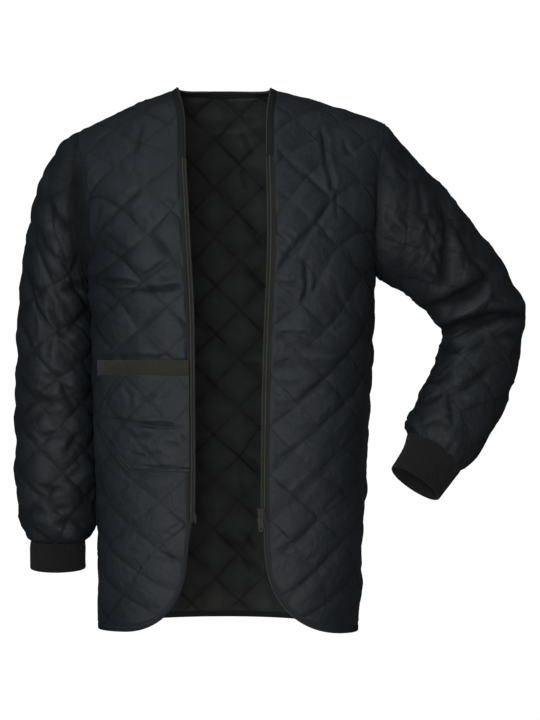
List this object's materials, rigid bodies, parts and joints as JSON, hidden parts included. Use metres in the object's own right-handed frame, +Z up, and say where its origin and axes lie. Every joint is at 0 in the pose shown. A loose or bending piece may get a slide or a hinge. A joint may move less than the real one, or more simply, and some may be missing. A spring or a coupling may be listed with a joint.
{
  "type": "quilted parka liner jacket",
  "caption": "Collarless hip-length quilted jacket worn open, with a rounded front hem, patch pocket, rib cuffs and a zip with a turning pull tab.",
  "frame": {"origin": "middle of the neck opening, level with the high points of the shoulders, where a wearer carries it", "axes": "+Z up, the fronts face -Y, +X is the wearer's left"},
  "size_m": [0.797, 0.2878, 0.8398],
  "materials": {
    "navy_quilt": "soft matt nylon, navy black outside and olive black inside, quilted in diamonds",
    "binding_cloth": "satin woven bias tape",
    "olive_tape": "matt woven tape",
    "black_rib": "matt knitted rib",
    "dark_metal": "dark painted zinc",
    "dark_plastic": "dark moulded plastic"
  },
  "bodies": {
    "jacket": {"front_right": "navy_quilt", "front_left": "navy_quilt", "back": "navy_quilt", "sleeve_right": "navy_quilt", "sleeve_left_shoulder": "navy_quilt", "sleeve_left_upper": "navy_quilt", "sleeve_left_elbow": "navy_quilt", "sleeve_left_forearm": "navy_quilt", "sleeve_left_forearm_low": "navy_quilt", "sleeve_left_wrist": "navy_quilt", "pocket": "navy_quilt", "pocket_band": "olive_tape", "neck_binding": "binding_cloth", "hem_binding": "binding_cloth", "cuff_right": "black_rib", "cuff_left": "black_rib", "zip_tape_right": "olive_tape", "zip_tape_left": "olive_tape", "zip_slider": "dark_metal", "zip_box": "dark_plastic", "zip_pin": "dark_plastic"},
    "pull": {"zip_pull": "dark_metal"}
  },
  "joints": [
    {"name": "pull_swing", "type": "hinge", "parent": "jacket", "child": "pull", "pos_m": [0.05445, -0.14745, -0.6495], "axis": [-1, 0, 0], "range_deg": [0, 170]}
  ]
}
